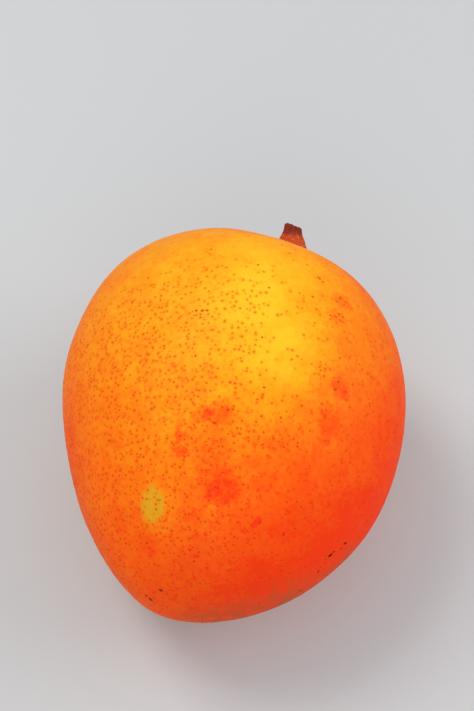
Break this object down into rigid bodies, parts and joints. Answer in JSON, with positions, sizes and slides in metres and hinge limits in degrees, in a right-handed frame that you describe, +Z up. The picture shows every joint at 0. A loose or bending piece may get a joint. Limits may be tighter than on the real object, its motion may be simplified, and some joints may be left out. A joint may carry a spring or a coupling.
{
  "type": "mango",
  "caption": "Ripe, plump mango lying on its cheek, broad at the shoulder and tapering to a bent apex, with a short woody stub of stalk; food and still-life prop.",
  "frame": {"origin": "on the surface that the fruit lies on, under the centre of the whole object's bounding box", "axes": "+Z up as it rests on its cheek, +Y towards the stalk end, -X towards the edge that the apex bends to"},
  "size_m": [0.094, 0.1098, 0.0804],
  "materials": {
    "skin": "waxy peel, yellow through orange to red, with small dark lenticels",
    "bark": "dry, matte, red-brown, rough where it broke off"
  },
  "bodies": {
    "root": {"fruit": "skin", "stalk": "bark"}
  },
  "joints": []
}
